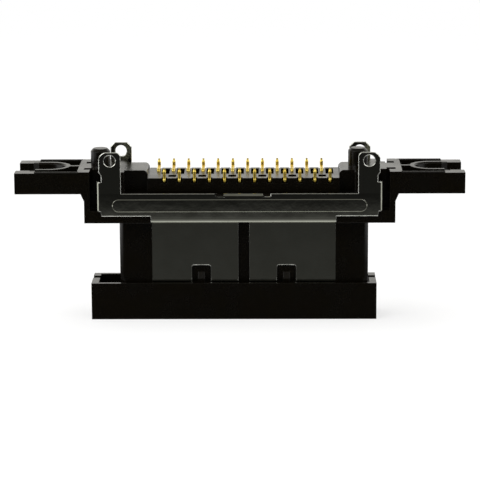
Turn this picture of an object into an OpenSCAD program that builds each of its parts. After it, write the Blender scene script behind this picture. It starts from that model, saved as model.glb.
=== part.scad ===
// Rectangular connector: slotted housing, two shield shells, two rows of contacts
// Millimetres, +Z up, ears along X, front towards -Y, Z = 0 under the frame

/* [Ears] */
// Length over both ears
ear_span = 59.7; // [58.6:0.1:62]
// Depth of the ears and shoulder, front to back
ear_depth = 9.7; // [9.4:0.1:11]
// Thickness of the ears
ear_t = 2.95; // [2.6:0.05:3.4]
// Distance between the two slot centres
slot_pitch = 51.4; // [51:0.1:52]
// Width of the screw slot
slot_w = 4.5; // [4.1:0.1:4.8]
// Width of the slot at its open end
mouth_w = 5.35; // [5.1:0.05:6]
// Length of the solid pad at the ear tip
pad_len = 2.65; // [2:0.05:3]
// Length of the flare between slot and mouth
flare_len = 0.75; // [0.4:0.05:1.2]
// How far the tip pads lie below the ear top
pad_drop = 0.15; // [0.05:0.05:0.4]
// Wall left around the slot
slot_wall = 0.7; // [0.5:0.05:0.9]
// Outer wall of the cored ear
rim_wall = 0.6; // [0.45:0.05:0.8]
// Floor left under the ear pockets
ear_floor = 0.8; // [0.6:0.1:1.4]
// Thickness of the rib behind the slot
rib_t = 0.6; // [0.4:0.05:0.9]
// Bevel around the top edge of the slot
slot_bevel = 0.2; // [0.1:0.05:0.3]

/* [Shoulder] */
// Width of the shoulder block
shoulder_w = 41.3; // [41:0.1:41.8]
// Height of the shoulder block
shoulder_h = 6.9; // [6.5:0.1:8]
// Cross wall between the shoulder and the ear pockets
cross_wall = 0.9; // [0.6:0.05:1]
// Height of the gusset under each ear
gusset_h = 1.0; // [0.6:0.1:1.6]
// Width of the gusset under each ear
gusset_w = 0.45; // [0.3:0.05:0.6]
// Distance of the relief slits' inner ends from the middle
slit_x = 19.55; // [19.5:0.05:19.8]
// Distance of the relief slits from the middle plane
slit_y = 2.3; // [2.25:0.05:2.35]
// Width of the relief slits
slit_w = 1.15; // [1.1:0.05:1.3]
// How far the relief slits cut into the cross walls
slit_out = 0.1; // [0:0.05:0.2]
// Depth of the relief slits
slit_depth = 3.0; // [2:0.1:3.6]
// Half length of the low middle part between the ring tabs
mid_half = 15.3; // [15.1:0.05:15.5]
// Distance of the flange recesses' outer ends from the middle
recess_x = 19.9; // [19.7:0.05:20]
// Depth of the flange recesses behind the shoulder's face
recess_depth = 2.1; // [2:0.05:2.3]

/* [Contact floor] */
// Middle of the contact field along X
field_x = 0.5; // [0.4:0.05:0.6]
// Length of the floor between the end blocks
field_w = 25.5; // [25:0.1:26]
// Distance of the floor's front and back faces from the middle plane
floor_y = 3.9; // [3.7:0.05:4.1]
// How far the floor lies below the ear top
floor_drop = 1.0; // [0.9:0.05:1.1]
// Depth of the end blocks, front to back
block_depth = 6.0; // [5:0.1:7]
// How far the end blocks lie below the ear top
block_drop = 0.1; // [0.05:0.05:0.3]
// Rounding of the end blocks' inner top edge
block_r = 0.6; // [0.3:0.05:0.7]
// Width of the core pockets in the floor
core_w = 1.05; // [0.7:0.05:1.1]
// Wall between a long core pocket and the contact in front of it
core_wall = 0.2; // [0.15:0.01:0.3]
// Distance of the long core pockets from the floor's back edge
core_rear = 0.8; // [0.6:0.05:1.2]
// Distance of the short core pockets from the floor's front edge
core_front = 1.0; // [0.8:0.05:1.2]
// Length of the short core pockets
core_short = 1.4; // [1:0.05:1.6]
// Depth of the core pockets in the floor
core_depth = 1.6; // [1:0.1:1.8]

/* [Neck] */
// Width of the neck
neck_w = 33.4; // [33:0.1:33.5]
// Depth of the neck, front to back
neck_depth = 4.4; // [4.3:0.1:4.6]
// Rounding of the neck's upright edges
neck_r = 0.9; // [0.5:0.05:1]
// Open height between frame and shoulder
neck_gap = 8.6; // [8.2:0.1:10]
// Distance of the latch nibs from the middle of the contact field
nib_x = 5.72; // [5.4:0.02:6]
// Width of a latch nib
nib_w = 0.9; // [0.6:0.05:1.4]
// Height of a latch nib
nib_h = 1.4; // [1.1:0.05:1.6]
// How far a nib stands out of the neck recess
nib_out = 0.5; // [0.4:0.05:0.6]

/* [Frame] */
// Distance of the frame's left face from the middle
frame_left = 20.0; // [19.7:0.05:20.2]
// Distance of the frame's right face from the middle
frame_right = 18.3; // [18.25:0.05:18.5]
// Depth of the frame, front to back
frame_depth = 6.4; // [6.3:0.05:6.8]
// Height of the frame
frame_h = 4.95; // [4.8:0.05:5.6]
// Thickness of the frame's long walls
frame_wall = 0.6; // [0.5:0.05:0.7]
// Thickness of the frame's end walls
end_wall = 0.95; // [0.8:0.05:1]
// How far the deck lies below the frame's top edge
deck_drop = 0.6; // [0.5:0.05:0.8]
// Thickness of the deck that joins neck and frame
deck_t = 1.2; // [1:0.1:1.6]
// Width of the notch in each end wall
notch_w = 1.2; // [0.8:0.1:1.6]
// Distance of the notch from the middle plane
notch_y = 0.85; // [0.5:0.05:1]
// Depth of the notch in each end wall
notch_depth = 0.5; // [0.3:0.05:0.8]

/* [Mating slot] */
// Length of the mating slot
mate_w = 25.2; // [24.6:0.1:25.6]
// Width of the mating slot
mate_gap = 2.0; // [1.8:0.05:2.1]
// Depth of the mating slot above the tongue end
mate_depth = 5.5; // [4.5:0.1:6.5]
// How far the tongue end lies above the frame's bottom
tongue_rise = 0.3; // [0.2:0.05:0.6]
// Lead-in bevel of the mating slot
lead_in = 0.25; // [0.1:0.05:0.3]

/* [Pegs] */
// Diameter of the pegs
peg_d = 2.6; // [2.2:0.05:2.8]
// Height of the pegs above the ear top
peg_h = 2.4; // [2:0.1:3]
// Bevel of the peg tops
peg_bevel = 0.35; // [0.2:0.05:0.5]
// Distance of the left peg from the middle
peg_left = 18.7; // [18.4:0.05:19]
// Distance of the right peg from the middle
peg_right = 15.8; // [15.6:0.05:16]

/* [Shells] */
// Corner cut at the lower ends of the bar
bar_cut = 0.12; // [0.05:0.01:0.3]
// Thickness of the sheet
sheet_t = 0.3; // [0.25:0.01:0.35]
// Inner radius of the sheet bends
bend_r = 0.25; // [0.2:0.01:0.3]
// Clearance between shells and housing
shell_fit = 0.03; // [0.02:0.01:0.05]
// Width over the two side flanges
shell_w = 38.0; // [37.8:0.05:38.2]
// How far the bar's top edge lies below the ear top
bar_top = 2.85; // [2.8:0.01:2.9]
// How far the bar's bottom edge lies below the ear top
bar_bottom = 5.9; // [5.7:0.05:6]
// How far the flange tops lie below the ear top
flange_top = 1.3; // [1:0.1:2]
// How far the flange ends lie below the ear top
flange_bottom = 5.25; // [4.8:0.05:5.4]
// Depth of the side flanges
flange_depth = 1.8; // [1.2:0.1:1.9]
// Height of the pressed bead
bead_h = 1.7; // [1.4:0.05:1.9]
// Length of the pressed bead
bead_w = 33.8; // [30:0.1:34]
// How far the bead stands out
bead_out = 0.08; // [0.04:0.02:0.24]
// How far the bead's middle lies below the ear top
bead_drop = 4.47; // [4.4:0.01:4.55]
// Width over both skirts
skirt_span = 24.6; // [24:0.1:25]
// Gap between the two skirts
skirt_gap = 1.46; // [1:0.02:2]
// How far the fold's underside lies below the ear top
fold_drop = 6.9; // [6.6:0.02:6.9]
// How far the skirts end above the frame's bottom
skirt_rise = 0.8; // [0.6:0.1:1.6]
// Width of the latch windows
window_w = 2.53; // [2.2:0.01:2.8]
// How far the window tops lie below the ear top
window_top = 13.2; // [12.8:0.05:13.4]
// Rounding of the window corners
window_r = 0.3; // [0.15:0.05:0.45]
// Length of the hook tongue along the bar
tongue_w = 5.2; // [4:0.1:6]
// Width of the notch beside the tongue
tongue_gap = 1.0; // [0.7:0.05:1.2]
// How far the hook tongue reaches over the ledge
tongue_reach = 0.9; // [0.6:0.05:0.9]
// Inner radius of the hook tongue's bend
tongue_r = 0.1; // [0.05:0.01:0.15]

/* [Ring tabs] */
// Distance of the front tabs from the middle
front_tab_x = 17.16; // [17:0.01:17.3]
// Width of the front tabs
front_tab_w = 2.9; // [2.8:0.05:3.1]
// Height of the front tabs above the ear top
front_tab_h = 2.66; // [2.6:0.02:3.2]
// Radius of the front tabs' inner top corners
front_tab_r = 0.6; // [0.3:0.05:0.7]
// Radius of the front tabs' outer top corners
front_tab_out_r = 1.0; // [0.7:0.05:1.1]
// How far the front tabs draw in towards the bar
front_tab_waist = 0.3; // [0.2:0.01:0.5]
// Height over which the front tabs draw in
waist_len = 0.6; // [0.4:0.05:0.8]
// How far above the ear top the front tabs start to draw in
waist_rise = 0.1; // [0:0.05:0.2]
// Height of the front holes above the ear top
front_hole_h = 1.54; // [1.5:0.02:1.8]
// Distance of the rear tabs from the middle
rear_tab_x = 16.25; // [16.1:0.01:16.4]
// Width of the rear tabs
rear_tab_w = 2.86; // [2.6:0.02:3]
// Height of the rear tabs above the ear top
rear_tab_h = 2.3; // [2.2:0.05:2.8]
// Corner bevel of the rear tabs
rear_tab_c = 0.6; // [0.3:0.05:0.8]
// Height of the rear holes above the ear top
rear_hole_h = 1.17; // [1.1:0.01:1.35]
// Diameter of the tab holes
tab_hole_d = 1.54; // [1.2:0.02:1.7]

/* [Contacts] */
// Contacts in each row
row_count = 12; // [8:1:12]
// Distance between neighbours in a row
row_pitch = 2.0; // [1.9:0.01:2]
// Width of a contact
contact_w = 0.44; // [0.4:0.02:0.6]
// Thickness of a contact
contact_t = 0.35; // [0.3:0.01:0.4]
// Inner radius of the contact bends
contact_r = 0.2; // [0.15:0.01:0.25]
// Height of the tails above the ear top
tail_h = 0.3; // [0.1:0.05:0.6]
// How far the contacts' legs lie below the floor
leg_drop = 0.7; // [0.6:0.02:0.8]
// Bevel of the tail tips
tail_bevel = 0.12; // [0.05:0.01:0.15]
// How far the contacts end above the tongue end
blade_rise = 0.7; // [0.5:0.05:1.2]
// Clearance between contacts and housing
contact_fit = 0.02; // [0.01:0.01:0.04]
// Gap around the tails in the notches of the floor
tail_gap = 0.15; // [0.05:0.01:0.2]

/* [Hidden] */
$fn = 48;
eps = 0.01;
// Heights from the frame's bottom up
deck_z = frame_h - deck_drop - deck_t;
shoulder_z = frame_h + neck_gap;
top_z = shoulder_z + shoulder_h;
ledge_z = top_z - bar_top - sheet_t - shell_fit;
floor_z = top_z - floor_drop;
fold_z = top_z - fold_drop;
// Plan positions
face_y = ear_depth / 2;
plate_y = face_y + shell_fit;
slot_x = slot_pitch / 2;
pad_x = ear_span / 2 - pad_len;
pocket_x = shoulder_w / 2 + cross_wall;
row_stagger = row_pitch / 2;
// Sheet bends and the faces that the skirts lie on
bend_out = bend_r + sheet_t;
recess_y = neck_depth / 2 - sheet_t - shell_fit;
skirt_y = neck_depth / 2 - sheet_t;
nib_z = top_z - window_top - 1.0;
window_bottom = nib_z - nib_h - shell_fit;
// Contact bends and the face that the blades show in the mating slot
tail_out = contact_r + contact_t;
blade_y = mate_gap / 2;
leg_z = floor_z - leg_drop;

function pad2(i) = i < 10 ? str("0", i) : str(i);
function front_name(i) = str("contact_front_", pad2(i));
function rear_name(i) = str("contact_rear_", pad2(i));
// Front tails start half a step to the right of the rear ones
function rear_x(i) = field_x + (i - 1 - (row_count - 1) / 2) * row_pitch - row_stagger / 2;
function front_x(i) = rear_x(i) + row_stagger;

// Box from its lowest to its highest corner
module span(lo, hi) {
  translate(lo)
    cube(hi - lo);
}

// Stands a drawing of Y and Z upright and draws it out along X
module along_x(x0, x1) {
  translate([x0, 0, 0])
    rotate([90, 0, 90])
      linear_extrude(x1 - x0)
        children();
}

// Stands a drawing of X and Z upright and draws it out along Y
module along_y(y0, y1) {
  translate([0, y1, 0])
    rotate([90, 0, 0])
      linear_extrude(y1 - y0)
        children();
}

// Flat rectangle from its lowest to its highest corner
module rect(lo, hi) {
  translate(lo)
    square(hi - lo);
}

// Quarter of a ring about a centre, sx and sy give its quadrant
module quarter_ring(c, r_in, r_out, sx, sy) {
  translate(c)
    difference() {
      intersection() {
        circle(r = r_out);
        translate([sx < 0 ? -r_out : 0, sy < 0 ? -r_out : 0])
          square(r_out);
      }
      circle(r = r_in);
    }
}

// Slot of the right ear in plan, grown evenly for the wall round it
module slot_plan(grow) {
  translate([slot_x, 0])
    circle(r = slot_w / 2 + grow);
  rect([slot_x, -slot_w / 2 - grow], [ear_span / 2 + 1, slot_w / 2 + grow]);
}

// Wider mouth of the slot between the tip pads
module mouth_plan() {
  polygon([
    [pad_x, -slot_w / 2],
    [pad_x + flare_len, -mouth_w / 2],
    [ear_span / 2 + 1, -mouth_w / 2],
    [ear_span / 2 + 1, mouth_w / 2],
    [pad_x + flare_len, mouth_w / 2],
    [pad_x, slot_w / 2]
  ]);
}

// Pockets that core out the ear around the slot wall
module ear_pockets() {
  difference() {
    rect([pocket_x, rim_wall - face_y], [pad_x, face_y - rim_wall]);
    slot_plan(slot_wall);
    rect([pocket_x - 1, -rib_t / 2], [slot_x, rib_t / 2]);
  }
}

// Right ear with its slot, pockets, lowered tip pads and gusset
module ear() {
  difference() {
    span([shoulder_w / 2 - 1, -face_y, top_z - ear_t], [ear_span / 2, face_y, top_z]);
    translate([0, 0, top_z - ear_t - 1])
      linear_extrude(ear_t + 2) {
        slot_plan(0);
        mouth_plan();
      }
    translate([0, 0, top_z - ear_t + ear_floor])
      linear_extrude(ear_t)
        ear_pockets();
    span([pad_x, -face_y - 1, top_z - pad_drop], [ear_span / 2 + 1, face_y + 1, top_z + 1]);
    // Bevel round the inner end of the slot and along its sides
    translate([slot_x, 0, top_z - slot_bevel])
      cylinder(r1 = slot_w / 2, r2 = slot_w / 2 + slot_bevel + eps, h = slot_bevel + eps);
    along_x(slot_x, pad_x)
      polygon([
        [-slot_w / 2, top_z - slot_bevel],
        [slot_w / 2, top_z - slot_bevel],
        [slot_w / 2 + slot_bevel + eps, top_z + eps],
        [-slot_w / 2 - slot_bevel - eps, top_z + eps]
      ]);
  }
  along_y(-face_y, face_y)
    polygon([
      [shoulder_w / 2 - 1, top_z - ear_t + eps],
      [shoulder_w / 2 + gusset_w, top_z - ear_t + eps],
      [shoulder_w / 2, top_z - ear_t - gusset_h],
      [shoulder_w / 2 - 1, top_z - ear_t - gusset_h]
    ]);
}

// End blocks with the contact floor between them, seen from the front
module block_outline() {
  fx0 = field_x - field_w / 2;
  fx1 = field_x + field_w / 2;
  bz = top_z - block_drop;
  difference() {
    rect([-mid_half - eps, ledge_z - 1], [mid_half + eps, bz]);
    rect([fx0, floor_z], [fx1, bz + 1]);
    rect([fx0 - block_r, bz - block_r], [fx1 + block_r, bz + 1]);
  }
  for (x = [fx0 - block_r, fx1 + block_r])
    translate([x, bz - block_r])
      intersection() {
        circle(r = block_r);
        rect([-block_r, 0], [block_r, block_r]);
      }
}

// Shoulder with the ledge, end blocks and floor
module shoulder() {
  difference() {
    span([-shoulder_w / 2, -face_y, shoulder_z], [shoulder_w / 2, face_y, top_z]);
    span([-mid_half, -face_y - 1, ledge_z], [mid_half, face_y + 1, top_z + 1]);
  }
  along_y(-block_depth / 2, block_depth / 2)
    block_outline();
  span(
    [field_x - field_w / 2, -floor_y, ledge_z - 1],
    [field_x + field_w / 2, floor_y, floor_z]
  );
}

// Pockets in the contact floor, long ones behind the front tails
module floor_cores() {
  for (i = [1 : row_count]) {
    span(
      [front_x(i) - core_w / 2, core_wall - blade_y, floor_z - core_depth],
      [front_x(i) + core_w / 2, floor_y - core_rear, floor_z + 1]
    );
    if (i % 2 == 0)
      span(
        [rear_x(i) - core_w / 2, core_front - floor_y, floor_z - core_depth / 2],
        [rear_x(i) + core_w / 2, core_front + core_short - floor_y, floor_z + 1]
      );
  }
}

// Notches for the tails in the floor's front face, mirrored for the back
module tail_notch(x) {
  span(
    [x - contact_w / 2 - tail_gap, -floor_y - 1, leg_z - contact_fit],
    [x + contact_w / 2 + tail_gap, contact_t + tail_gap - floor_y, floor_z + 1]
  );
}

// Bevel of the ledge under the bend of each hook tongue
module ledge_bevel() {
  b = tongue_r + shell_fit;
  for (s = [0, 1])
    mirror([0, s, 0])
      along_x(field_x - tongue_w / 2 - tongue_gap, field_x + tongue_w / 2 + tongue_gap)
        polygon([
          [-face_y - 1, ledge_z - b],
          [-face_y, ledge_z - b],
          [b - face_y, ledge_z],
          [b - face_y, ledge_z + eps],
          [-face_y - 1, ledge_z + eps]
        ]);
}

// Neck in plan with rounded upright edges
module neck_plan() {
  a = neck_w / 2 - neck_r;
  b = neck_depth / 2 - neck_r;
  translate([field_x, 0]) {
    square([2 * a, neck_depth], center = true);
    square([neck_w, 2 * b], center = true);
    for (sx = [-1, 1])
      for (sy = [-1, 1])
        translate([sx * a, sy * b])
          circle(r = neck_r);
  }
}

// Neck from the tongue end up into the shoulder
module neck() {
  difference() {
    translate([0, 0, tongue_rise])
      linear_extrude(shoulder_z - tongue_rise + 1)
        neck_plan();
    for (s = [-1, 1])
      span(
        [field_x - skirt_span / 2 - shell_fit, s > 0 ? recess_y : -recess_y - 2, 0],
        [field_x + skirt_span / 2 + shell_fit, s > 0 ? recess_y + 2 : -recess_y, shoulder_z]
      );
  }
  nibs();
}

// Four latch nibs, sloped on top and square underneath
module nibs() {
  for (x = [field_x - nib_x, field_x + nib_x])
    for (s = [0, 1])
      mirror([0, s, 0])
        along_x(x - nib_w / 2, x + nib_w / 2)
          polygon([
            [eps - recess_y, nib_z],
            [-recess_y, nib_z],
            [-recess_y - nib_out, nib_z - nib_h * 0.6],
            [-recess_y - nib_out, nib_z - nib_h],
            [eps - recess_y, nib_z - nib_h]
          ]);
}

// Bottom frame with its deck, open guide pocket and end notches
module frame() {
  ix0 = end_wall - frame_left;
  ix1 = frame_right - end_wall;
  iy = frame_depth / 2 - frame_wall;
  neck_x0 = field_x - neck_w / 2;
  neck_x1 = field_x + neck_w / 2;
  difference() {
    span([-frame_left, -frame_depth / 2, 0], [frame_right, frame_depth / 2, frame_h]);
    span([ix0, -iy, -1], [ix1, iy, frame_h + 1]);
    span(
      [-frame_left - 1, notch_y - notch_w / 2, frame_h - notch_depth],
      [frame_right + 1, notch_y + notch_w / 2, frame_h + 1]
    );
    // Lead-in along the long bottom edges
    for (s = [0, 1])
      mirror([0, s, 0])
        along_x(ix0, ix1)
          polygon([[iy - eps, -eps], [iy + lead_in, -eps], [iy - eps, lead_in]]);
  }
  // Deck with a slot for each skirt
  difference() {
    span([neck_x0 + neck_r, -iy - eps, deck_z], [ix1 + eps, iy + eps, deck_z + deck_t]);
    for (s = [-1, 1])
      span(
        [
          field_x - skirt_span / 2 - shell_fit,
          s > 0 ? recess_y : -neck_depth / 2 - nib_out,
          deck_z - 1
        ],
        [
          field_x + skirt_span / 2 + shell_fit,
          s > 0 ? neck_depth / 2 + nib_out : -recess_y,
          deck_z + deck_t + 1
        ]
      );
  }
  // Bridge that ties the neck to the right end wall
  span(
    [neck_x1 - neck_r, neck_r - neck_depth / 2, tongue_rise],
    [ix1 + eps, neck_depth / 2 - neck_r, frame_h - notch_depth]
  );
}

// Peg with a bevelled top
module peg(x) {
  translate([x, 0, top_z - 1])
    cylinder(d = peg_d, h = peg_h + 1 - peg_bevel);
  translate([x, 0, top_z + peg_h - peg_bevel])
    cylinder(d1 = peg_d, d2 = peg_d - 2 * peg_bevel, h = peg_bevel);
}

// Corner recesses that take the side flanges and their bends
module flange_recesses() {
  xb = shell_w / 2 - bend_out - shell_fit;
  zb = top_z - flange_bottom - shell_fit;
  for (s = [0, 1])
    mirror([0, s, 0])
      for (m = [0, 1])
        mirror([m, 0, 0])
          span([xb, -face_y - 1, zb], [recess_x, recess_depth - face_y, top_z + 1]);
}

// Recess under the shoulder for the joggled part of both shells
module fold_recess() {
  x0 = field_x - skirt_span / 2 - shell_fit;
  x1 = field_x + skirt_span / 2 + shell_fit;
  rz = fold_z + sheet_t + shell_fit;
  b = bend_r / 2 + shell_fit;
  for (s = [0, 1])
    mirror([0, s, 0]) {
      span([x0, -face_y - 1, shoulder_z - 1], [x1, -recess_y, rz]);
      // Bevelled edge inside the bend of the fold
      along_x(x0, x1)
        polygon([
          [-face_y - 1, rz - eps],
          [b - face_y, rz - eps],
          [b - face_y, rz],
          [-face_y, rz + b],
          [-face_y - 1, rz + b]
        ]);
    }
}

// Mating slot in the tongue with a bevelled mouth
module mating_slot() {
  x0 = field_x - mate_w / 2;
  x1 = field_x + mate_w / 2;
  span([x0, -mate_gap / 2, 0], [x1, mate_gap / 2, tongue_rise + mate_depth]);
  along_x(x0, x1)
    polygon([
      [-mate_gap / 2 - lead_in, tongue_rise - eps],
      [mate_gap / 2 + lead_in, tongue_rise - eps],
      [mate_gap / 2, tongue_rise + lead_in],
      [-mate_gap / 2, tongue_rise + lead_in]
    ]);
}

// Relief slits in the shoulder ends beside the pegs
module relief_slits() {
  for (m = [0, 1])
    mirror([m, 0, 0])
      for (s = [-1, 1])
        span(
          [slit_x, s * slit_y - slit_w / 2, top_z - slit_depth],
          [shoulder_w / 2 + slit_out, s * slit_y + slit_w / 2, top_z + 1]
        );
}

// The one-piece moulding
module housing() {
  color([0.07, 0.07, 0.075])
    difference() {
      union() {
        shoulder();
        ear();
        mirror([1, 0, 0])
          ear();
        neck();
        frame();
        peg(-peg_left);
        peg(peg_right);
      }
      flange_recesses();
      ledge_bevel();
      fold_recess();
      relief_slits();
      floor_cores();
      mating_slot();
      for (i = [1 : row_count]) {
        contact_body(front_x(i), contact_fit);
        tail_notch(front_x(i));
        mirror([0, 1, 0]) {
          contact_body(rear_x(i), contact_fit);
          tail_notch(rear_x(i));
        }
      }
    }
}

// Side view of a contact: tail, bend, leg, bend and blade, grown by fit
module contact_outline(fit) {
  y0 = -floor_y;
  y1 = -blade_y;
  tip = top_z + tail_h;
  bottom = tongue_rise + blade_rise;
  c1 = [y0 + tail_out, leg_z + tail_out];
  c2 = [y1 - tail_out, leg_z + contact_t - tail_out];
  rect([y0 - fit, c1[1]], [y0 + contact_t + fit, tip - tail_bevel + fit]);
  polygon([
    [y0 - fit, tip - tail_bevel],
    [y0 + contact_t + fit, tip - tail_bevel],
    [y0 + contact_t - tail_bevel + fit, tip + fit],
    [y0 + tail_bevel - fit, tip + fit]
  ]);
  quarter_ring(c1, contact_r - fit, tail_out + fit, -1, -1);
  rect([c1[0] - eps, leg_z - fit], [c2[0] + eps, leg_z + contact_t + fit]);
  quarter_ring(c2, contact_r - fit, tail_out + fit, 1, 1);
  rect([y1 - contact_t - fit, bottom - fit], [y1 + fit, c2[1]]);
}

// One front contact at its place along X
module contact_body(x, fit) {
  along_x(x - contact_w / 2 - fit, x + contact_w / 2 + fit)
    contact_outline(fit);
}

module contact_front(i) {
  color([0.85, 0.66, 0.3])
    contact_body(front_x(i), 0);
}

module contact_rear(i) {
  color([0.85, 0.66, 0.3])
    mirror([0, 1, 0])
      contact_body(rear_x(i), 0);
}

// Rounded front tab with its stem, right hand side
module front_tab() {
  x0 = front_tab_x - front_tab_w / 2;
  x1 = front_tab_x + front_tab_w / 2;
  z1 = top_z + front_tab_h;
  r = front_tab_r;
  q = front_tab_out_r;
  w = front_tab_waist;
  w0 = top_z + waist_rise;
  w1 = w0 - waist_len;
  rect([x0, w0], [x1, z1 - q]);
  rect([x0, z1 - q - eps], [x1 - q, z1 - r]);
  rect([x0 + r, z1 - r - eps], [x1 - q, z1]);
  translate([x0 + r, z1 - r])
    circle(r = r);
  translate([x1 - q, z1 - q])
    circle(r = q);
  // The stem draws in towards the bar
  polygon([
    [x0, top_z - bar_top - 1],
    [x1 - w, top_z - bar_top - 1],
    [x1 - w, w1],
    [x1 - w * 0.85, w0 - waist_len * 0.67],
    [x1 - w * 0.15, w0 - waist_len * 0.33],
    [x1, w0],
    [x1, w0 + eps],
    [x0, w0 + eps]
  ]);
}

// Bevelled rear tab with its stem, right hand side
module rear_tab() {
  x0 = rear_tab_x - rear_tab_w / 2;
  x1 = rear_tab_x + rear_tab_w / 2;
  z1 = top_z + rear_tab_h;
  polygon([
    [x0, top_z - bar_top - 1],
    [x1, top_z - bar_top - 1],
    [x1, z1 - rear_tab_c],
    [x1 - rear_tab_c, z1],
    [x0 + rear_tab_c, z1],
    [x0, z1 - rear_tab_c]
  ]);
}

// Flat of the bar with its wings and apron, without tabs
module bar_outline() {
  xb = shell_w / 2 - bend_out;
  zt = top_z - bar_top;
  zb = top_z - bar_bottom;
  zf = top_z - flange_bottom;
  rect([-xb, zf], [xb, zt]);
  polygon([
    [-xb, zf + eps],
    [xb, zf + eps],
    [xb, zf],
    [xb - bar_cut, zb],
    [bar_cut - xb, zb],
    [-xb, zf]
  ]);
  for (m = [0, 1])
    mirror([m, 0])
      rect([front_tab_x, zf], [xb, top_z - flange_top]);
  rect(
    [field_x - skirt_span / 2, fold_z + bend_out],
    [field_x + skirt_span / 2, zb + eps]
  );
}

// Pressed bead: straight run with a half cone at each end
module bead(h, out, y) {
  root = sheet_t / 3;
  half = bead_w / 2 - bead_h / 2;
  r0 = h / 2;
  r1 = h / 2 - out;
  translate([0, y, top_z - bead_drop]) {
    for (x = [-half, half])
      translate([x, 0, 0])
        rotate([90, 0, 0]) {
          cylinder(r1 = r0, r2 = r1, h = out);
          translate([0, 0, -root])
            cylinder(r = r0, h = root);
        }
    along_x(-half, half)
      polygon([[root, -r0], [root, r0], [0, r0], [-out, r1], [-out, -r1], [0, -r0]]);
  }
}

// Joggle and skirt in side view, from the fold down
module skirt_outline() {
  c1 = [bend_r - plate_y, fold_z + bend_out];
  c2 = [-skirt_y - bend_out, fold_z + sheet_t - bend_out];
  rect([c1[0] - eps, fold_z], [c2[0] + eps, fold_z + sheet_t]);
  quarter_ring(c2, bend_r, bend_out, 1, 1);
  rect([-neck_depth / 2, skirt_rise], [-skirt_y, c2[1] + eps]);
}

// Latch window in front view
module window_outline(x) {
  zt = top_z - window_top;
  a = window_w / 2 - window_r;
  translate([x, 0]) {
    rect([-window_w / 2, window_bottom], [window_w / 2, zt - window_r]);
    rect([-a, window_bottom], [a, zt]);
    for (s = [-1, 1])
      translate([s * a, zt - window_r])
        circle(r = window_r);
  }
}

// Hook tongue that bends back over the ledge
module tongue_outline() {
  zt = top_z - bar_top;
  c = [tongue_r - plate_y, zt - tongue_r - sheet_t];
  rect([-plate_y - sheet_t, c[1] - 0.4], [-plate_y, c[1] + eps]);
  quarter_ring(c, tongue_r, tongue_r + sheet_t, -1, 1);
  rect([c[0] - eps, zt - sheet_t], [tongue_reach - plate_y, zt]);
}

// Side flange with its bend, right hand side, in plan
module flange_plan() {
  c = [shell_w / 2 - bend_out, bend_r - plate_y];
  quarter_ring(c, bend_r, bend_out, 1, -1);
  rect([c[0] + bend_r, c[1] - eps], [shell_w / 2, flange_depth - plate_y]);
}

// Everything that both shells share, drawn for the front
module shell_body() {
  zt = top_z - bar_top;
  t0 = field_x - tongue_w / 2;
  t1 = field_x + tongue_w / 2;
  cut_z = zt - tongue_r - sheet_t;
  difference() {
    union() {
      along_y(-plate_y - sheet_t, -plate_y)
        difference() {
          bar_outline();
          rect([t0 - tongue_gap, cut_z], [t1 + tongue_gap, zt + 1]);
        }
      bead(bead_h, bead_out, -plate_y - sheet_t);
    }
    bead(bead_h - 2 * bead_out, bead_out, -plate_y);
  }
  along_x(t0, t1)
    tongue_outline();
  // Fold under the apron, right across
  along_x(field_x - skirt_span / 2, field_x + skirt_span / 2)
    quarter_ring([bend_r - plate_y, fold_z + bend_out], bend_r, bend_out, -1, -1);
  difference() {
    for (s = [0, 1])
      translate([field_x, 0, 0])
        mirror([s, 0, 0])
          along_x(skirt_gap / 2, skirt_span / 2)
            skirt_outline();
    along_y(-neck_depth, 0)
      union() {
        window_outline(field_x - nib_x);
        window_outline(field_x + nib_x);
      }
  }
  for (s = [0, 1])
    mirror([s, 0, 0])
      translate([0, 0, top_z - flange_bottom])
        linear_extrude(flange_bottom - flange_top)
          flange_plan();
}

// Hole through a tab
module tab_hole(x, h) {
  translate([x, -plate_y + 1, top_z + h])
    rotate([90, 0, 0])
      cylinder(d = tab_hole_d, h = sheet_t + 2);
}

module front_shell() {
  color([0.33, 0.33, 0.34])
    difference() {
      union() {
        shell_body();
        for (s = [0, 1])
          mirror([s, 0, 0])
            along_y(-plate_y - sheet_t, -plate_y)
              front_tab();
      }
      tab_hole(-front_tab_x, front_hole_h);
      tab_hole(front_tab_x, front_hole_h);
    }
}

module rear_shell() {
  color([0.33, 0.33, 0.34])
    mirror([0, 1, 0])
      difference() {
        union() {
          shell_body();
          for (s = [0, 1])
            mirror([s, 0, 0])
              along_y(-plate_y - sheet_t, -plate_y)
                rear_tab();
        }
        tab_hole(-rear_tab_x, rear_hole_h);
        tab_hole(rear_tab_x, rear_hole_h);
      }
}

housing();
front_shell();
rear_shell();
for (i = [1 : row_count]) {
  contact_front(i);
  contact_rear(i);
}
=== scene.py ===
"""Looks of a rectangular connector: black moulding, steel shells, gold contacts.

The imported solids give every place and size. This script dresses the moulding and
the two shells, sweeps a coined contact through each contact's place, and sets a
plain pale studio around them. Lengths are metres, in the frame of the solids.
"""

import logging
import math
from dataclasses import dataclass
from enum import Enum

import bpy
import numpy as np
from mathutils import Matrix, Vector


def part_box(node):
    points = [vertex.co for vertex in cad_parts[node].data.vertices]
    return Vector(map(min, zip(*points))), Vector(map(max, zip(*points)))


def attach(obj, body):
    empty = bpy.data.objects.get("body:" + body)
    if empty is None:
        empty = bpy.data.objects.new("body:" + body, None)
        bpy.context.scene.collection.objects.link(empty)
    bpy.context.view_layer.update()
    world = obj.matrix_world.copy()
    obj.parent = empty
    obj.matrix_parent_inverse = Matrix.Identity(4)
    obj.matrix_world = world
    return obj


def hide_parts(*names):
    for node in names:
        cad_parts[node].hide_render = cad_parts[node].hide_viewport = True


MM = 0.001
WHITE = (1.0, 1.0, 1.0, 1.0)
LOG = logging.getLogger("connector")

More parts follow.
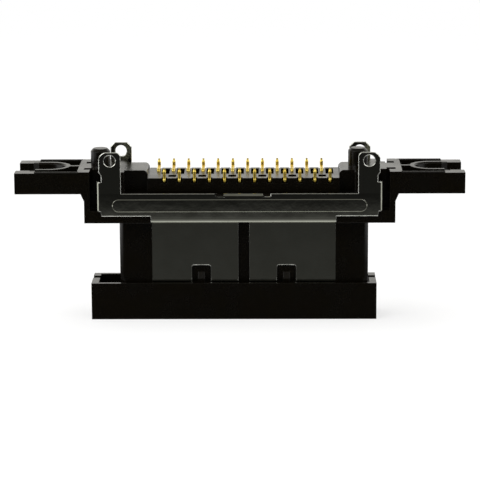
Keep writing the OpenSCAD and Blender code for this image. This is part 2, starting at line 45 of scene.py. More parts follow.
Node = bpy.types.Node
Socket = bpy.types.NodeSocket
Tree = bpy.types.ShaderNodeTree
Span = tuple[float, float]
Triple = tuple[float, float, float]
Feed = Socket | float | tuple[float, ...]

# Places of factor, first colour, second colour and result among a Mix node's sockets.
MIX_INPUTS = (0, 6, 7)
MIX_OUTPUT = 2

# Detail and roughness of the two noises that every finish takes its unevenness from.
FINE_DETAIL = 3.0
FINE_ROUGHNESS = 0.6
BROAD_DETAIL = 4.0
BROAD_ROUGHNESS = 0.5

# Edge colour, partly wear and partly a painted highlight: samples of the rounding, cosines
# of the turn from flat to edge, and the noise values between which the share of it that is kept grows.
EDGE_SAMPLES = 8
EDGE_TURN = (0.997, 0.9)
WEAR_AND_HIGHLIGHT_NOISE = (0.3, 0.6)
WEAR_AND_HIGHLIGHT_KEPT = (0.35, 1.0)

# Noise values between which dull patches turn clean, the patches' share in the gloss,
# and the mixed values between which the gloss changes.
PATCH_NOISE = (0.3, 0.7)
PATCH_SHARE = 0.5
GLOSS_NOISE = (0.1, 0.9)

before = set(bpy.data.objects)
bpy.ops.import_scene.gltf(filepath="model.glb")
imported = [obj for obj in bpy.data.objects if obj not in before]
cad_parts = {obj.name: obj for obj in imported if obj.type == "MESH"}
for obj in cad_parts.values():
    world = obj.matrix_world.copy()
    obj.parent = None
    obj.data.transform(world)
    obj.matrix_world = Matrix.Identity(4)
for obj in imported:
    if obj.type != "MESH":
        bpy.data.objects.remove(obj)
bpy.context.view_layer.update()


class Row(Enum):
    """The two rows of contacts, with the side of the middle plane each is on."""

    FRONT = -1.0
    REAR = 1.0


class Graph:
    """A node tree with short calls for adding and joining nodes."""

    def __init__(self, tree: bpy.types.NodeTree) -> None:
        """Keeps the tree and empties it."""
        self.tree = tree
        tree.nodes.clear()

    def feed(self, socket: Socket, value: Feed) -> None:
        """Links an input to an output socket, or sets it to a value.

        Args:
            socket: The input.
            value: The output socket or the value.
        """
        if isinstance(value, Socket):
            self.tree.links.new(value, socket)
        else:
            socket.default_value = value

    def fill(self, node: Node, **sockets: Feed) -> None:
        """Feeds a node's inputs by name.

        Args:
            node: The node to fill.
            **sockets: Input names, with underscores for spaces, to what feeds them.
        """
        for name, value in sockets.items():
            self.feed(node.inputs[name.replace("_", " ")], value)

    def add(self, kind: str, **sockets: Feed) -> Node:
        """Adds a node and fills its inputs.

        Args:
            kind: The node's type name without the ShaderNode prefix.
            **sockets: As for fill.

        Returns:
            The new node.
        """
        node = self.tree.nodes.new("ShaderNode" + kind)
        self.fill(node, **sockets)
        return node

    def math(self, operation: str, first: Feed, *others: Feed) -> Socket:
        """Adds maths nodes that work on one value, or join two or more in turn.

        Args:
            operation: Blender's name of the operation.
            first: A number or an output socket.
            *others: Further ones, each joined to the result so far.

        Returns:
            The last node's output socket.
        """
        result = first
        for other in others or (0.0,):
            node = self.add("Math")
            node.operation = operation
            self.feed(node.inputs[0], result)
            self.feed(node.inputs[1], other)
            result = node.outputs[0]
        return result

    def ramp(self, value: Socket, span: Span, result: Span = (0.0, 1.0), smooth: bool = True) -> Socket:
        """Maps a value from one span to another, held at both ends.

        Args:
            value: The value's socket.
            span: Values that give the two ends of the result.
            result: Those ends.
            smooth: Whether the ends are eased.

        Returns:
            The result's socket.
        """
        node = self.add("MapRange")
        node.interpolation_type = "SMOOTHSTEP" if smooth else "LINEAR"
        self.fill(node, Value=value, From_Min=span[0], From_Max=span[1], To_Min=result[0], To_Max=result[1])
        return node.outputs[0]

    def vector(self, operation: str, *values: Socket) -> Node:
        """Adds a vector maths node.

        Args:
            operation: Blender's name of the operation.
            *values: Output sockets, as many as the operation takes.

        Returns:
            The node.
        """
        node = self.add("VectorMath")
        node.operation = operation
        for socket, value in zip(node.inputs, values):
            self.feed(socket, value)
        return node

    def place(self, group: Tree, **sockets: Feed) -> Node:
        """Places a node group and fills its inputs.

        Args:
            group: The group's tree.
            **sockets: As for fill.

        Returns:
            The group's node.
        """
        node = self.add("Group")
        node.node_tree = group
        self.fill(node, **sockets)
        return node

    def tint(self, factor: Feed, first: Feed, second: Feed) -> Socket:
        """Mixes two colours.

        Args:
            factor: Share of the second colour.
            first: A colour or an output socket.
            second: A colour or an output socket.

        Returns:
            The mixed colour's socket.
        """
        node = self.add("Mix")
        node.data_type = "RGBA"
        for index, value in zip(MIX_INPUTS, (factor, first, second)):
            self.feed(node.inputs[index], value)
        return node.outputs[MIX_OUTPUT]

    def blend(self, factor: Socket, first: Node, second: Node) -> Node:
        """Mixes two shaders.

        Args:
            factor: Share of the second shader.
            first: Node of the first shader.
            second: Node of the second shader.

        Returns:
            The mix node.
        """
        node = self.add("MixShader")
        for socket, value in zip(node.inputs, (factor, first.outputs[0], second.outputs[0])):
            self.feed(socket, value)
        return node


def open_group(name: str, inputs: dict[str, str], outputs: dict[str, str]) -> tuple[Graph, Node, Node]:
    """Starts a node group.

    Args:
        name: The group's name.
        inputs: Names of its inputs, each with Float or Vector for its kind.
        outputs: Names of its outputs, in the same way.

    Returns:
        Its graph, the node that gives its inputs and the node that takes its outputs.
    """
    group = bpy.data.node_groups.new(name, "ShaderNodeTree")
    for way, sockets in (("INPUT", inputs), ("OUTPUT", outputs)):
        for label, kind in sockets.items():
            group.interface.new_socket(label, in_out=way, socket_type="NodeSocket" + kind)
    graph = Graph(group)
    return graph, group.nodes.new("NodeGroupInput"), group.nodes.new("NodeGroupOutput")


def surface_field() -> Tree:
    """Builds the node group that all finishes take their unevenness from.

    Fine is a small-scale noise, Broad a slow one, and Height their weighted sum. For
    Fine the point is first stretched, so that a grain can run along one direction.

    Returns:
        The node group.
    """
    graph, source, target = open_group(
        "surface_field",
        {"Point": "Vector", "Stretch": "Vector", "Fine Scale": "Float", "Broad Scale": "Float",
         "Fine Share": "Float"},
        {"Fine": "Float", "Broad": "Float", "Height": "Float"})
    given = source.outputs
    stretched = graph.vector("MULTIPLY", given["Point"], given["Stretch"])
    fine = graph.add("TexNoise", Vector=stretched.outputs[0], Scale=given["Fine Scale"],
                     Detail=FINE_DETAIL, Roughness=FINE_ROUGHNESS).outputs[0]
    broad = graph.add("TexNoise", Vector=given["Point"], Scale=given["Broad Scale"],
                      Detail=BROAD_DETAIL, Roughness=BROAD_ROUGHNESS).outputs[0]
    share = given["Fine Share"]
    height = graph.math("ADD", graph.math("MULTIPLY", fine, share),
                        graph.math("MULTIPLY", broad, graph.math("SUBTRACT", 1.0, share)))
    graph.fill(target, Fine=fine, Broad=broad, Height=height)
    return graph.tree


def edge_wear_and_highlight() -> Tree:
    """Builds the node group that rounds sharp edges in the light and masks their lighter colour, which is
    partly wear and partly a painted highlight.

    Normal is the face's normal, turned towards its neighbour's within the radius of
    an edge. Mask tells how far it was turned, thinned out by a noise, and goes from
    0 on the flat to 1 on the edge.

    Returns:
        The node group.
    """
    graph, source, target = open_group("edge_wear_and_highlight", {"Radius": "Float", "Noise": "Float"},
                                       {"Mask": "Float", "Normal": "Vector"})
    rounded = graph.add("Bevel", Radius=source.outputs["Radius"])
    rounded.samples = EDGE_SAMPLES
    flat = graph.add("NewGeometry").outputs["True Normal"]
    level = graph.vector("DOT_PRODUCT", rounded.outputs[0], flat).outputs["Value"]
    turned = graph.ramp(level, EDGE_TURN)
    kept = graph.ramp(source.outputs["Noise"], WEAR_AND_HIGHLIGHT_NOISE, WEAR_AND_HIGHLIGHT_KEPT)
    graph.fill(target, Mask=graph.math("MULTIPLY", turned, kept), Normal=rounded.outputs[0])
    return graph.tree


def new_material(name: str) -> tuple[bpy.types.Material, Graph]:
    """Makes an empty material.

    Args:
        name: Material name.

    Returns:
        The material and its graph.
    """
    material = bpy.data.materials.new(name)
    material.use_nodes = True
    return material, Graph(material.node_tree)


@dataclass(frozen=True)
class Effects:
    """The node groups that the finishes share."""

    grain: Tree
    edges: Tree


@dataclass(frozen=True)
class Finish:
    """A finish: colours, gloss and the unevenness of its surface.

    Attributes:
        name: Material name.
        dark: Base colour in the dull patches.
        light: Base colour in the clean patches.
        worn_and_highlight: Base colour at the edges, partly rubbed surface and partly a painted highlight.
        metallic: 1 for a metal and 0 for a plastic.
        smooth: Roughness in the clean patches.
        dull: Roughness in the dull patches.
        stretch: Factors that draw the fine grain out along an axis.
        fine_size: Size of the fine grain.
        broad_size: Size of the patches.
        fine_share: Share of the fine grain in the relief.
        relief: Depth of the relief.
        edge_radius: Radius that sharp edges are rounded to in the light.
        ior: Index of refraction, which sets a plastic's gloss.
    """

    name: str
    dark: Triple
    light: Triple
    worn_and_highlight: Triple
    metallic: float
    smooth: float
    dull: float
    stretch: Triple
    fine_size: float
    broad_size: float
    fine_share: float
    relief: float
    edge_radius: float
    ior: float = 1.5

    def rounding(self, graph: Graph, point: Socket) -> float | Socket:
        """Gives the radius of the edges, one value all over here."""
        return self.edge_radius

    def gloss(self, graph: Graph, point: Socket, rough: Socket) -> Socket:
        """Gives the roughness, left as it is here."""
        return rough

    def height(self, graph: Graph, point: Socket, uneven: Node) -> Socket:
        """Gives the height of the surface in millimetres, which is the relief here."""
        return graph.math("MULTIPLY", uneven.outputs["Height"], self.relief / MM)

    def build(self, effects: Effects) -> bpy.types.Material:
        """Makes the material.

        Args:
            effects: The shared node groups.

        Returns:
            The material.
        """
        material, graph = new_material(self.name)
        point = graph.add("TexCoord").outputs["Object"]
        uneven = graph.place(effects.grain, Point=point, Stretch=self.stretch,
                             Fine_Scale=1.0 / self.fine_size, Broad_Scale=1.0 / self.broad_size,
                             Fine_Share=self.fine_share)
        edges = graph.place(effects.edges, Radius=self.rounding(graph, point), Noise=uneven.outputs["Fine"])
        patch = graph.ramp(uneven.outputs["Broad"], PATCH_NOISE)
        whole = graph.tint(patch, (*self.dark, 1.0), (*self.light, 1.0))
        # Lighter colour along the edges: partly wear, partly a painted highlight.
        colour = graph.tint(edges.outputs["Mask"], whole, (*self.worn_and_highlight, 1.0))
        mixed = graph.math("ADD", graph.math("MULTIPLY", patch, PATCH_SHARE),
                           graph.math("MULTIPLY", uneven.outputs["Fine"], 1.0 - PATCH_SHARE))
        rough = graph.ramp(mixed, GLOSS_NOISE, (self.dull, self.smooth))
        bump = graph.add("Bump", Strength=1.0, Distance=MM, Normal=edges.outputs["Normal"],
                         Height=self.height(graph, point, uneven))
        shader = graph.add("BsdfPrincipled", Base_Color=colour, Metallic=self.metallic, IOR=self.ior,
                           Roughness=self.gloss(graph, point, rough), Normal=bump.outputs[0])
        graph.add("OutputMaterial", Surface=shader.outputs[0])
        return material


@dataclass(frozen=True)
class MouldedFinish(Finish):
    """A finish on the moulding, whose ears have matt rims and matt slot mouths.

    Attributes:
        rim_near: Distance from the middle at which the ears' rims begin.
        rim_far: Distance from the middle at which the rims end and the mouths begin.
        rim_inner: Distance of the rims' inner edges from the middle plane.
        rim_low: Height above which a surface counts as a rim's top.
        mouth_far: Distance from the middle at which the slots' mouths end.
        mouth_half: Half the width of the mouths.
        matt: Roughness of both.
    """

    rim_near: float = 21.4 * MM
    rim_far: float = 27.2 * MM
    rim_inner: float = 4.2 * MM
    rim_low: float = 20.3 * MM
    mouth_far: float = 27.97 * MM
    mouth_half: float = 3.2 * MM
    matt: float = 0.7

    def gloss(self, graph: Graph, point: Socket, rough: Socket) -> Socket:
        """Raises the roughness on the ears' rims and in the mouths of their slots.

        Args:
            graph: The material's tree.
            point: The point on the surface.
            rough: Roughness elsewhere.

        Returns:
            The roughness socket.
        """
        place = graph.add("SeparateXYZ", Vector=point)
        along = graph.math("ABSOLUTE", place.outputs["X"])
        aside = graph.math("ABSOLUTE", place.outputs["Y"])
        top = graph.math("GREATER_THAN", place.outputs["Z"], self.rim_low)
        past = graph.math("GREATER_THAN", along, self.rim_far)
        rim = graph.math("MULTIPLY", top,
                         graph.math("SUBTRACT", 1.0, past),
                         graph.math("GREATER_THAN", along, self.rim_near),
                         graph.math("GREATER_THAN", aside, self.rim_inner))
        mouth = graph.math("MULTIPLY", past,
                           graph.math("SUBTRACT", 1.0, top),
                           graph.math("LESS_THAN", along, self.mouth_far),
                           graph.math("LESS_THAN", aside, self.mouth_half))
        share = graph.math("ADD", rim, mouth)
        return graph.math("MAXIMUM", rough, graph.math("MULTIPLY", share, self.matt))


@dataclass(frozen=True)
class SheetFinish(Finish):
    """A finish on rolled sheet, whose bar bows outwards between its two long edges.

    Attributes:
        bar_low: Height of the bar's bottom edge.
        bar_high: Height of the bar's top edge.
        bow: How far the middle of the bar stands out on the whole.
        bow_span: Factors between which the bow varies along the bar.
        curl: How far the bar's bottom edge curls in before the fold.
        curl_low: Height at which that curl is full.
        curl_reach: Height over which it grows.
        skirt_lean: Slope by which the skirts lean in towards their lower ends.
        flange_lean: Slope by which flanges and tabs lean in towards their upper ends.
        bead_z: Height of the pressed bead's middle.
        bead_half: Half the height of the strip that the bead takes up.
        bead_reach: Distance from the middle to the ends of that strip.
        tongue_low: Height at which the hook tongue's bend begins.
        tongue_half: Half the length of the tongue, with some clearance.
        tuck_high: Height below which the skirts' outer edges lie tucked in.
        tuck_near: Distance from the middle at which those edges begin.
        tight_radius: Radius of the pressed and tucked bends in the light.
    """

    bar_low: float = 14.3 * MM
    bar_high: float = 17.6 * MM
    bow: float = 0.06 * MM
    bow_span: Span = (0.2, 1.8)
    curl: float = 0.02 * MM
    curl_low: float = 14.08 * MM
    curl_reach: float = 0.36 * MM
    skirt_lean: float = 0.024
    flange_lean: float = 0.036
    bead_z: float = 15.98 * MM
    bead_half: float = 1.0 * MM
    bead_reach: float = 17.3 * MM
    tongue_low: float = 17.15 * MM
    tongue_half: float = 3.3 * MM
    tuck_high: float = 13.3 * MM
    tuck_near: float = 11.2 * MM
    tight_radius: float = 0.009 * MM

    def rounding(self, graph: Graph, point: Socket) -> Socket:
        """Gives pressed and tucked bends a tight radius and sheared edges the wide one.

        Tight are the bead's strip, the hook tongue and the skirts' outer edges.

        Args:
            graph: The material's tree.
            point: The point on the surface.

        Returns:
            The radius socket.
        """
        place = graph.add("SeparateXYZ", Vector=point)
        up = place.outputs["Z"]
        beside = graph.math("ABSOLUTE", place.outputs["X"])
        over = graph.math("ABSOLUTE", graph.math("SUBTRACT", up, self.bead_z))
        bead = graph.math("MULTIPLY", graph.math("LESS_THAN", over, self.bead_half),
                          graph.math("LESS_THAN", beside, self.bead_reach))
        tongue = graph.math("MULTIPLY", graph.math("GREATER_THAN", up, self.tongue_low),
                            graph.math("LESS_THAN", beside, self.tongue_half))
        tucked = graph.math("MULTIPLY", graph.math("LESS_THAN", up, self.tuck_high),
                            graph.math("GREATER_THAN", beside, self.tuck_near))
        tight = graph.math("MAXIMUM", bead, tongue, tucked)
        # The radius also sets how far the lighter edge colour, partly a painted highlight, reaches.
        return graph.ramp(tight, (0.0, 1.0), (self.edge_radius, self.tight_radius))

    def height(self, graph: Graph, point: Socket, uneven: Node) -> Socket:
        """Adds the sheet's slow bends to the relief.

        With t going from -1 to 1 between the bar's edges, and held beyond them, the
        bow is its depth times 1 - t squared, and the slow noise varies that depth
        along the bar. The curl falls with the square of the distance into the strip
        along the bar's bottom edge. Below the bar the height falls evenly with the
        depth, and above it evenly with the height.

        Args:
            graph: The material's tree.
            point: The point on the surface.
            uneven: Node of the shared unevenness.

        Returns:
            The height's socket, in millimetres.
        """
        up = graph.add("SeparateXYZ", Vector=point).outputs["Z"]
        t = graph.ramp(up, (self.bar_low, self.bar_high), (-1.0, 1.0), smooth=False)
        depth = graph.ramp(uneven.outputs["Broad"], (0.0, 1.0), self.bow_span, smooth=False)
        bow = graph.math("MULTIPLY", graph.math("SUBTRACT", 1.0, graph.math("MULTIPLY", t, t)),
                         graph.math("MULTIPLY", depth, self.bow / MM))
        near = graph.ramp(up, (self.curl_low + self.curl_reach, self.curl_low), smooth=False)
        curl = graph.math("MULTIPLY", near, near, -self.curl / MM)
        below = graph.math("MAXIMUM", graph.math("SUBTRACT", self.bar_low, up), 0.0)
        above = graph.math("MAXIMUM", graph.math("SUBTRACT", up, self.bar_high), 0.0)
        lean = graph.math("ADD", graph.math("MULTIPLY", below, -self.skirt_lean / MM),
                          graph.math("MULTIPLY", above, -self.flange_lean / MM))
        return graph.math("ADD", bow, curl, lean, super().height(graph, point, uneven))


BLACK_MOULDING = MouldedFinish(
    name="black_moulding", dark=(0.0019, 0.0012, 0.0001), light=(0.0027, 0.0018, 0.0003),
    worn_and_highlight=(0.0095, 0.0085, 0.007), metallic=0.0, smooth=0.2, dull=0.3, stretch=(1.0, 1.0, 1.0),
    fine_size=0.16 * MM, broad_size=3.5 * MM, fine_share=0.35, relief=0.002 * MM, edge_radius=0.07 * MM,
    ior=1.36)
# The steel's near-white edge colour is partly bare cut metal and partly a painted highlight on its edges,
# bead and fold.
SHELL_STEEL = SheetFinish(
    name="shell_steel", dark=(0.33, 0.335, 0.28), light=(0.385, 0.39, 0.33), worn_and_highlight=(0.89, 0.895, 0.83),
    metallic=1.0, smooth=0.11, dull=0.16, stretch=(0.25, 1.0, 1.0), fine_size=0.14 * MM,
    broad_size=2.6 * MM, fine_share=0.6, relief=0.004 * MM, edge_radius=0.185 * MM)
CONTACT_GOLD = Finish(
    name="contact_gold", dark=(0.8, 0.57, 0.09), light=(0.98, 0.77, 0.19), worn_and_highlight=(1.0, 0.86, 0.4),
    metallic=1.0, smooth=0.3, dull=0.42, stretch=(1.0, 1.0, 0.3), fine_size=0.12 * MM,
    broad_size=0.7 * MM, fine_share=0.5, relief=0.003 * MM, edge_radius=0.02 * MM)


def dress(node: str, material: bpy.types.Material) -> None:
    """Gives a solid's mesh one material.

    Args:
        node: The solid's node name.
        material: The material.
    """
    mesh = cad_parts[node].data
    mesh.materials.clear()
    mesh.materials.append(material)
    LOG.info("dressed %s", node)


@dataclass
class Housing:
    """The one-piece black moulding with its ears, neck and frame."""

    node: str = "housing"
    finish: Finish = BLACK_MOULDING

    def dress(self, effects: Effects) -> None:
        """Gives the moulding its black plastic."""
        dress(self.node, self.finish.build(effects))


@dataclass
class Shells:
    """The two steel stampings that clip around the moulding."""

    nodes: tuple[str, ...] = ("front_shell", "rear_shell")
    finish: Finish = SHELL_STEEL

    def dress(self, effects: Effects) -> None:
        """Gives both stampings the same sheet steel.

        Args:
            effects: The shared node groups.
        """
        material = self.finish.build(effects)
        for node in self.nodes:
            dress(node, material)


@dataclass
class ContactRow:
    """One row of gold contacts, each swept along its own bent centre line.

    Attributes:
        row: Which row this is.
        thickness: Thickness of the strip.
        bend: Centre-line radius of both bends.
        leg_drop: Distance from the tail's tip down to the middle of a sunk leg.
        leg_lift: How much higher the rear legs lie, which rest on the floor.
        corner: Radius of the strip's rounded edges.
        point: Length of the blunt point at the end of the tail.
        taper: Length over which the tail thins down to that point.
        point_share: Share of the thickness that the point keeps.
        point_width: Share of the width that the point keeps.
        knee: How far the coined knee swells out of the tail above the bend.
        knee_spread: Height over which that swelling falls off.
        finish: The plating.
        count: Contacts in the row.
        point_rings: Rings along the point.
        taper_rings: Rings along the taper.
        tail_rings: Rings along the rest of the tail.
        bend_rings: Rings round each bend.
        leg_rings: Rings along the leg.
        blade_rings: Rings along the blade.
        corner_points: Points round each edge of the section.
    """

    row: Row
    thickness: float = 0.35 * MM
    bend: float = 0.2 * MM
    leg_drop: float = 1.825 * MM
    leg_lift: float = 0.7 * MM
    corner: float = 0.17 * MM
    point: float = 0.16 * MM
    taper: float = 0.3 * MM
    point_share: float = 0.3
    point_width: float = 0.6
    knee: float = 0.09 * MM
    knee_spread: float = 0.14 * MM
    finish: Finish = CONTACT_GOLD
    count: int = 12
    point_rings: int = 4
    taper_rings: int = 7
    tail_rings: int = 24
    bend_rings: int = 10
    leg_rings: int = 8
    blade_rings: int = 12
    corner_points: int = 5

    def nodes(self) -> list[str]:
        """Gives the names of the solids in this row."""
        return [f"contact_{self.row.name.lower()}_{i:02d}" for i in range(1, self.count + 1)]

    def reach(self) -> float:
        """Gives the distance from the tail's tip down to the middle of the leg."""
        return self.leg_drop - (self.leg_lift if self.row is Row.REAR else 0.0)

    def centre_line(self, low: Vector, high: Vector) -> tuple[np.ndarray, np.ndarray]:
        """Traces the middle of the strip from tip to blade end.

        A straight tail, a quarter circle inwards, a straight leg, a quarter circle
        downwards and a straight blade follow each other, each sampled evenly.

        Args:
            low: Lowest corner of the solid's box.
            high: Highest corner of the solid's box.

        Returns:
            Distances from the middle plane and heights of the points, and the
            unit normals that lie in the plane of the bend.
        """
        half, r = self.thickness / 2, self.bend
        outer, inner = (-low.y, -high.y) if self.row is Row.FRONT else (high.y, low.y)
        y_tail, y_blade = outer - half, inner + half
        z_leg = high.z - self.reach()
        quarter = np.linspace(0.0, math.pi / 2, self.bend_rings)
        pointed = high.z - self.point
        shank = pointed - self.taper
        tail_z = np.concatenate([np.linspace(high.z, pointed, self.point_rings),
                                 np.linspace(pointed, shank, self.taper_rings)[1:],
                                 np.linspace(shank, z_leg + r, self.tail_rings)[1:]])
        blade_z = np.linspace(z_leg - r, low.z, self.blade_rings)
        leg_y = np.linspace(y_tail - r, y_blade + r, self.leg_rings)
        y = np.concatenate([np.full(tail_z.size, y_tail),
                            (y_tail - r) + r * np.cos(quarter[1:]),
                            leg_y[1:-1],
                            (y_blade + r) - r * np.sin(quarter),
                            np.full(blade_z.size - 1, y_blade)])
        z = np.concatenate([tail_z,
                            (z_leg + r) - r * np.sin(quarter[1:]),
                            np.full(leg_y.size - 2, z_leg),
                            (z_leg - r) + r * np.cos(quarter),
                            blade_z[1:]])
        line = np.column_stack([y, z])
        along = np.gradient(line, axis=0)
        along /= np.linalg.norm(along, axis=1, keepdims=True)
        return line, np.column_stack([-along[:, 1], along[:, 0]])

    def section(self, width: float) -> np.ndarray:
        """Draws the strip's rounded section.

        Each corner is a quarter circle about a point that lies one corner radius
        inside both faces, so the outline is a rectangle with round edges.

        Args:
            width: Width of the strip.

        Returns:
            Points across the width and through the thickness, once round.
        """
        turn = np.linspace(0.0, math.pi / 2, self.corner_points)
        angles = np.concatenate([turn + k * math.pi / 2 for k in range(4)])
        centre = np.array([width / 2 - self.corner, self.thickness / 2 - self.corner])
        signs = np.repeat([[1, 1], [-1, 1], [-1, -1], [1, -1]], turn.size, axis=0)
        return signs * centre + self.corner * np.column_stack([np.cos(angles), np.sin(angles)])

    def surface(self, low: Vector, high: Vector) -> np.ndarray:
        """Works out one contact's surface.

        A point of the surface is a point of the centre line plus the section laid
        across it. Along the taper the section grows evenly from the point's shares
        to its full size. The knee adds a bell curve of the length along the line to
        the outer half of the section, with its middle where the bend begins.

        Args:
            low: Lowest corner of the solid's box.
            high: Highest corner of the solid's box.

        Returns:
            Array of rings by points by coordinates.
        """
        line, normal = self.centre_line(low, high)
        section = self.section(high.x - low.x)
        down = high.z - line[:, 1]
        short = np.clip((self.point + self.taper - down) / self.taper, 0.0, 1.0)
        steps = np.linalg.norm(np.diff(line, axis=0), axis=1)
        run = np.concatenate([[0.0], np.cumsum(steps)])
        beyond = (run - (self.reach() - self.bend)) / self.knee_spread
        bell = self.knee * np.exp(-beyond ** 2 / 2)
        across = (1.0 - (1.0 - self.point_width) * short)[:, None] * section[None, :, 0]
        through = (1.0 - (1.0 - self.point_share) * short)[:, None] * section[None, :, 1]
        outer = np.clip(section[:, 1] / (self.thickness / 2), 0.0, 1.0)
        through = through + bell[:, None] * outer[None, :]
        x = (low.x + high.x) / 2 + across
        y = line[:, None, 0] + normal[:, None, 0] * through
        z = line[:, None, 1] + normal[:, None, 1] * through
        return np.stack([x, self.row.value * y, z], axis=-1)

    def build(self, effects: Effects) -> None:
        """Sweeps every contact of the row and puts it in its solid's place.

        Args:
            effects: The shared node groups.
        """
        material = self.finish.build(effects)
        for node in self.nodes():
            low, high = (Vector(corner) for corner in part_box(node))
            piece = closed_tube(f"{node}_coined", self.surface(low, high), flip=self.row is Row.REAR)
            piece.data.materials.append(material)
            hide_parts(node)
            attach(piece, "root")
            LOG.info("swept %s", piece.name)


def closed_tube(name: str, points: np.ndarray, flip: bool) -> bpy.types.Object:
    """Makes a closed tube from rings of points.

    Neighbouring rings are joined by quads and both end rings are filled.

    Args:
        name: Object name.
        points: Array of rings by points by coordinates.
        flip: Whether to turn the faces round so that they point outwards.

    Returns:
        The new object, smooth along the tube.
    """
    rings, per = points.shape[:2]
    row, col = np.meshgrid(np.arange(rings - 1), np.arange(per), indexing="ij")
    after = (col + 1) % per
    here, there = row * per, (row + 1) * per
    quads = np.stack([here + col, here + after, there + after, there + col], axis=-1).reshape(-1, 4)
    caps = np.stack([np.arange(per)[::-1], np.arange(per) + (rings - 1) * per])
    turn = -1 if flip else 1
    faces = quads[:, ::turn].tolist() + caps[:, ::turn].tolist()
    mesh = bpy.data.meshes.new(name)
    mesh.from_pydata(points.reshape(-1, 3).tolist(), [], faces)
    mesh.polygons.foreach_set("use_smooth", np.ones(len(mesh.polygons), dtype=bool))
    mesh.update()
    piece = bpy.data.objects.new(name, mesh)
    bpy.context.scene.collection.objects.link(piece)
    return piece


@dataclass(frozen=True)
class Lamp:
    """A square soft lamp.

    Attributes:
        name: Object name.
        place: Where it hangs.
        size: Side of the square.
        tone: Brightness of its face, where 1 is white.
        mirrored: Whether glossy surfaces show it.
    """

    name: str
    place: Triple
    size: float
    tone: float
    mirrored: bool

    def hang(self, look_at: Triple) -> None:
        """Hangs the lamp so that it points at the part.

        Args:
            look_at: The point that it is aimed at.
        """
        data = bpy.data.lights.new(self.name, "AREA")
        data.shape = "SQUARE"
        data.size = self.size
        data.energy = self.tone * math.pi * self.size * self.size
        lamp = bpy.data.objects.new(self.name, data)
        aim = Vector(look_at) - Vector(self.place)
        lamp.rotation_euler = aim.to_track_quat("-Z", "Y").to_euler()
        lamp.location = self.place
        lamp.visible_glossy = self.mirrored
        lamp.visible_camera = False
        bpy.context.scene.collection.objects.link(lamp)


LAMPS = (Lamp("top_lamp", place=(-0.1, 0.05, 0.6), size=0.6, tone=3.6, mirrored=False),
         Lamp("left_lamp", place=(-0.45, -0.4, 0.36), size=0.5, tone=2.4, mirrored=True),
         Lamp("right_lamp", place=(0.45, -0.4, 0.36), size=0.5, tone=2.0, mirrored=True))


